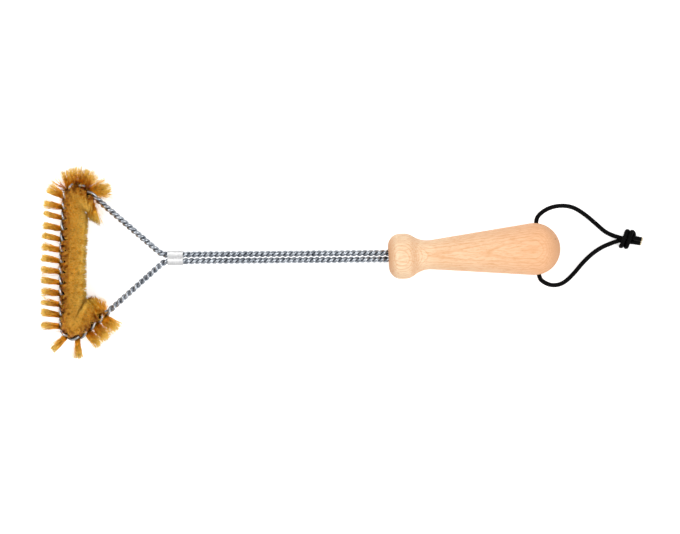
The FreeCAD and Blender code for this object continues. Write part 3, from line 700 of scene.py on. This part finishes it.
class BRUSH_OT_crimped_sleeve(bpy.types.Operator):
    """Aluminium finish of the sleeve that closes the loop"""
    bl_idname = "brush.crimped_sleeve"
    bl_label = "Crimped Sleeve"

    def execute(self, context):
        finish_nodes(["crimped_sleeve"], drawn_aluminium(context.scene.brush_wire))
        return {"FINISHED"}


class BRUSH_OT_handle(bpy.types.Operator):
    """Beech finish of the turned handle"""
    bl_idname = "brush.handle"
    bl_label = "Handle"

    def execute(self, context):
        finish_nodes(["handle"], turned_beech(context.scene.brush_handle))
        return {"FINISHED"}


# ------------------------------------------------------------------ bristles

SEED = 41
# How one tuft stands. outside is the share of its half turn that stands outside the loop, in a fin
# or a fan. lean and scatter are the angles of those ends along the rope, in degrees. length is their
# share of the full length, and left the share of the filaments that are left. The others cross over
# to the inner side, from the angle nearest, in degrees. fray is the scatter of the lengths outside,
# short the share of worn-down ends, taper how far the ends draw together, and gather the share of a
# bend's turn that they follow, where they are bundled.
TuftShape = namedtuple(
    "TuftShape", "outside lean scatter length left nearest fray short taper gather",
    defaults=(84.0, 0.12, 0.8, 0.0, 1.0))
# Tufts at the top corner and on the lower arm spread into fans. All others stand as plain fins.
FANS = {1: TuftShape(0.7, -36.0, 15.0, 1.1, 0.9, nearest=25.0),
        2: TuftShape(0.6, -14.0, 12.0, 0.97, 0.8, nearest=25.0),
        3: TuftShape(0.6, -28.0, 7.0, 0.95, 0.7, nearest=25.0),
        4: TuftShape(0.5, -18.0, 3.5, 1.0, 0.9), 19: TuftShape(0.6, 4.0, 6.0, 1.0, 0.85),
        20: TuftShape(0.75, 2.0, 8.0, 1.0, 0.8), 21: TuftShape(0.75, 6.0, 8.0, 1.02, 0.8)}
PLAIN_FIN = TuftShape(0.42, -9.0, 4.6, 1.03, 1.0, 116.0, 0.08, 0.6, 0.45, 0.3)
# Filaments cling together in clumps. Each strays from its clump by these shares of the clumps' own
# scatter.
CLUMPS = 22
OWN_LEAN, OWN_LIFT, OWN_TURN = 0.3, 0.5, 0.6
# Outer ends keep this share of the angle at which they are held, and scatter by this angle.
OUTER_KEPT = 0.42
OUTER_SCATTER = np.radians(8)
# Inner ends keep this share of it, up to a limit in radians, and scatter by this angle.
INNER_KEPT, INNER_LIMIT = 0.9, 1.2
INNER_SCATTER = np.radians(9)
# Ends that cross over reach this angle, in degrees, and wander this far along the rope, in
# millimetres.
CROSSING_END = 146
WANDER = 4.7
# Width of the inner ends of a fin, in half turns, and their scatter in clumps and each on its own.
INNER_WIDTH = 1.15
CLUMP_DRIFT, OWN_DRIFT = 1.5, 0.9
# Share of the full length that the shortest worn-down end keeps.
SHORTEST = 0.35
# Inner ends of the first tuft are pushed along the arm, in millimetres, spread wider and shorter.
FIRST_TUFT_WIDTH = 1.4
FIRST_TUFT_PUSH = 8.0
FIRST_TUFT_SHARE = 0.92
# Shares of the length at which a filament has its points, and where its bend from the wires ends.
STATIONS = np.array([0.0, 0.16, 0.38, 0.68, 1.0])
BEND_END = 0.42
# A filament drifts along the rope faster towards its tip, by this power.
DRIFT_POWER = 1.2
# Lengths scatter by a share, and a few filaments are cut down to a share of theirs.
LENGTH_SCATTER = 0.045
CUT_CHANCE, CUT_SHARE = 0.06, 0.86
# Inner ends are pushed away from a corner over this reach, in millimetres. Those that lean by more
# than the least angle, in radians, scatter.
CORNER_REACH = 20.4
CORNER_SCATTER = math.radians(4)
LEAST_LEAN = 0.05
# Filaments are kept this far above the table, in millimetres.
FLOOR_GAP = 0.2
# Filaments that stand outside are painted lighter further down: the bright tip colour reaches further
# along them.
OUTER_PAINTED_LIGHT = 1.3


class BRUSH_OT_bristles(bpy.types.Operator):
    """Brass filaments of every tuft"""
    bl_idname = "brush.bristles"
    bl_label = "Bristles"

    def execute(self, context):
        settings = context.scene.brush_bristles
        material = drawn_brass(settings)
        rope = RopeLine()
        for number in range(1, TUFT_COUNT + 1):
            middle = rope.bends[TOP_BEND][0] - FIRST_TUFT_LEAD + (number - 1) * HALF_TURN
            piece = self.tuft(settings, material, rope, number, middle)
            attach(piece, "brush")
            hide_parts(f"bristle_tuft_{number:02d}")
        return {"FINISHED"}

    def tuft(self, settings, material, rope, number, middle):
        """One tuft: filaments with two ends each, bent from where they are held to where they
        stand, as thin three-sided tubes. They are drawn thicker and fewer than real ones, which are
        too fine to show."""
        random = np.random.default_rng(SEED + number)
        shape = FANS.get(number, PLAIN_FIN)
        count = int(settings.filaments * shape.left)
        share = random.uniform(-0.5, 0.5, count)
        fin = np.abs(share) < shape.outside / 2
        clump = random.integers(0, CLUMPS, count)
        clumps = random.normal(0, 1, (4, CLUMPS))[:, clump]
        ends = (self.outer_ends(random, shape, share, fin, clumps),
                self.inner_ends(random, number, share, fin, clumps))
        root, target, drift, tilt = (np.concatenate(pair) for pair in zip(*ends))

        outer_fin = np.concatenate([fin, np.zeros_like(fin)])
        frayed = 1 - np.abs(random.normal(0, shape.fray, 2 * count))
        short = random.uniform(0, 1, 2 * count) < shape.short
        frayed = np.where(short, random.uniform(SHORTEST, 1.0, 2 * count), frayed)
        inner_share = FIRST_TUFT_SHARE if number == 1 else 1.0
        wear = np.where(outer_fin, shape.length * frayed, inner_share)
        distance = np.tile(middle + share * HALF_TURN, 2)
        base, heading = rope.at(distance)
        _middle, middle_heading = rope.at(np.full(2 * count, middle))
        gather = np.where(outer_fin, shape.gather, 1.0)
        heading = middle_heading + (heading - middle_heading) * gather
        corner_lean = self.lean_from_corner(rope, distance)
        return self.filaments(settings, material, random, f"bristles_{number:02d}", base, heading,
                              wear, root, target, drift, tilt, corner_lean)

    def outer_ends(self, random, shape, share, fin, clumps):
        """Angles at which the outer ends are held and stand, their drift along the rope and their
        tilt."""
        count = len(share)
        clump_lean, clump_lift, _turn, _drift = clumps
        held = share * math.pi
        wobble = random.normal(0, 1, count)
        stays = (held * OUTER_KEPT * PLAIN_FIN.outside / shape.outside
                 + OUTER_SCATTER * (OWN_LIFT * wobble + clump_lift))
        crosses = np.sign(share) * np.radians(random.uniform(shape.nearest, CROSSING_END, count))
        drift = np.where(fin, -share * HALF_TURN * shape.taper,
                         random.uniform(-WANDER, WANDER, count))
        scatter = clump_lean + OWN_LEAN * random.normal(0, 1, count)
        tilt = np.radians(shape.lean + shape.scatter * scatter) * fin
        return held, np.where(fin, stays, crosses), drift, tilt

    def inner_ends(self, random, number, share, fin, clumps):
        """The same for the inner ends, which stand across the loop and have no tilt."""
        count = len(share)
        _lean, _lift, clump_turn, clump_drift = clumps
        held = share * math.pi
        wobble = random.normal(0, 1, count)
        target = (math.pi + np.clip(held * INNER_KEPT, -INNER_LIMIT, INNER_LIMIT)
                  + INNER_SCATTER * (OWN_TURN * wobble + clump_turn))
        spread = share * (INNER_WIDTH / PLAIN_FIN.outside - 1) * HALF_TURN
        if number == 1:
            spread = spread * FIRST_TUFT_WIDTH - FIRST_TUFT_PUSH
        own_drift = random.normal(0, OWN_DRIFT, count)
        drift = np.where(fin, spread + CLUMP_DRIFT * clump_drift + own_drift,
                         random.uniform(-WANDER, WANDER, count))
        return held + math.pi, target, drift, np.zeros(count)

    def lean_from_corner(self, rope, distance):
        """How far inner ends are pushed along the rope, away from a corner, as an angle."""
        lean = np.zeros(len(distance))
        for bend in (TOP_BEND, BOTTOM_BEND):
            start, end, setback, turn = rope.bends[bend]
            opening = math.tan((math.pi - abs(turn)) / 2)
            angles = np.radians(np.arange(0, 61))
            room = CORNER_REACH * np.cos(angles) / opening - CORNER_REACH * np.sin(angles)

            def needed(away):
                return np.interp(-away, -room, angles)

            before = start - distance + setback
            after = distance - end + setback
            edge = needed(np.array([setback]))[0]
            inside = (distance > start) & (distance < end)
            lean = np.where(distance <= start, lean - needed(before), lean)
            lean = np.where(distance >= end, lean + needed(after), lean)
            lean = np.where(inside, edge * (2 * (distance - start) / (end - start) - 1), lean)
        return lean

    def filaments(self, settings, material, random, name, base, heading, wear, root, target,
                  drift, tilt, corner_lean):
        """A tube for each end, from its place on the rope's middle line to its tip."""
        count = len(heading)
        trim, offset = settings.trim_radius / MM, settings.trim_offset / MM
        along = np.stack([np.cos(heading), np.sin(heading), np.zeros(count)], axis=1)
        outward = np.stack([np.sin(heading), -np.cos(heading), np.zeros(count)], axis=1)
        length = (-offset * np.cos(target)
                  + np.sqrt(trim ** 2 - (offset * np.sin(target)) ** 2))
        length *= wear * (1 - np.abs(random.normal(0, LENGTH_SCATTER, count)))
        length *= np.where(random.uniform(0, 1, count) < CUT_CHANCE, CUT_SHARE, 1.0)
        lean = corner_lean * np.clip(-np.cos(target), 0, 1)
        lean += random.normal(0, CORNER_SCATTER, count) * (np.abs(lean) > LEAST_LEAN) + tilt
        bend = np.clip(STATIONS / BEND_END, 0, 1)
        bend = bend * bend * (3 - 2 * bend)
        angle = root[:, None] + (target - root)[:, None] * bend[None, :]
        radial = length[:, None] * STATIONS[None, :]
        push = radial * np.sin(lean)[:, None] + drift[:, None] * STATIONS[None, :] ** DRIFT_POWER
        radial = radial * np.cos(lean)[:, None]
        crimp = random.normal(0, settings.crimp / MM, (count, len(STATIONS), 3))
        crimp[:, 0] = 0
        path = (np.concatenate([base, np.zeros((count, 1))], axis=1)[:, None, :]
                + outward[:, None, :] * (radial * np.cos(angle))[:, :, None]
                + UP * (radial * np.sin(angle))[:, :, None]
                + along[:, None, :] * push[:, :, None] + crimp)
        floor = -LIE_SHIFT[2] - path[..., 0] * math.sin(LIE_ANGLE) + FLOOR_GAP
        path[..., 2] = np.maximum(path[..., 2], floor)

        tangent = np.gradient(path, axis=1)
        tangent /= np.linalg.norm(tangent, axis=2)[:, :, None]
        across = np.cross(tangent, along[:, None, :])
        across /= np.linalg.norm(across, axis=2)[:, :, None]
        other = np.cross(tangent, across)
        sides = 3
        around = np.arange(sides) * 2 * math.pi / sides
        radius = settings.filament / MM / 2
        ring = (path[:, :, None, :]
                + radius * (across[:, :, None, :] * np.cos(around)[None, None, :, None]
                            + other[:, :, None, :] * np.sin(around)[None, None, :, None]))
        index = np.arange(ring[..., 0].size).reshape(ring.shape[:3])
        onward = np.roll(index, -1, axis=2)
        walls = np.stack([index[:, :-1], onward[:, :-1], onward[:, 1:], index[:, 1:]], axis=-1)
        faces = np.concatenate([
            walls[..., [0, 1, 2]].reshape(-1, 3), walls[..., [0, 2, 3]].reshape(-1, 3),
            index[:, -1, :], index[:, 0, ::-1]])
        # Painted light: the outer ends take the bright tip colour further down.
        painted_light_share = np.where(np.cos(target) > 0.5, OUTER_PAINTED_LIGHT, 1.0)
        reach = np.minimum(painted_light_share[:, None] * STATIONS[None, :], 1)
        tone = random.uniform(0, 1, count)
        return mesh_object(
            name, lay_down(ring.reshape(-1, 3)), faces.tolist(), material,
            reach=np.repeat(reach, sides), tone=np.repeat(tone, len(STATIONS) * sides))


# ------------------------------------------------------------------ panel and registration

OPERATORS = (BRUSH_OT_stage, BRUSH_OT_hanging_cord, BRUSH_OT_wire_loop, BRUSH_OT_crimped_sleeve,
             BRUSH_OT_handle, BRUSH_OT_bristles)
SETTINGS = {
    "brush_stage": StageSettings,
    "brush_cord": CordSettings,
    "brush_wire": WireSettings,
    "brush_handle": HandleSettings,
    "brush_bristles": BristleSettings,
}


class BRUSH_PT_pieces(bpy.types.Panel):
    """Pieces and settings of the grill brush"""
    bl_idname = "BRUSH_PT_pieces"
    bl_label = "Grill Brush"
    bl_space_type = "VIEW_3D"
    bl_region_type = "UI"
    bl_category = "Grill Brush"

    def draw(self, context):
        for operator in OPERATORS:
            self.layout.operator(operator.bl_idname)
        for name, group in SETTINGS.items():
            box = self.layout.box()
            box.label(text=group.__doc__)
            for setting in group.__annotations__:
                box.prop(getattr(context.scene, name), setting)


def register():
    for group in SETTINGS.values():
        bpy.utils.register_class(group)
    for operator in OPERATORS:
        bpy.utils.register_class(operator)
    bpy.utils.register_class(BRUSH_PT_pieces)
    for name, group in SETTINGS.items():
        setattr(bpy.types.Scene, name, PointerProperty(type=group))


def unregister():
    for name in SETTINGS:
        delattr(bpy.types.Scene, name)
    bpy.utils.unregister_class(BRUSH_PT_pieces)
    for made in (*OPERATORS, *SETTINGS.values()):
        bpy.utils.unregister_class(made)


def main():
    register()
    for operator in OPERATORS:
        family, name = operator.bl_idname.split(".")
        getattr(getattr(bpy.ops, family), name)()


if __name__ == "__main__":
    main()
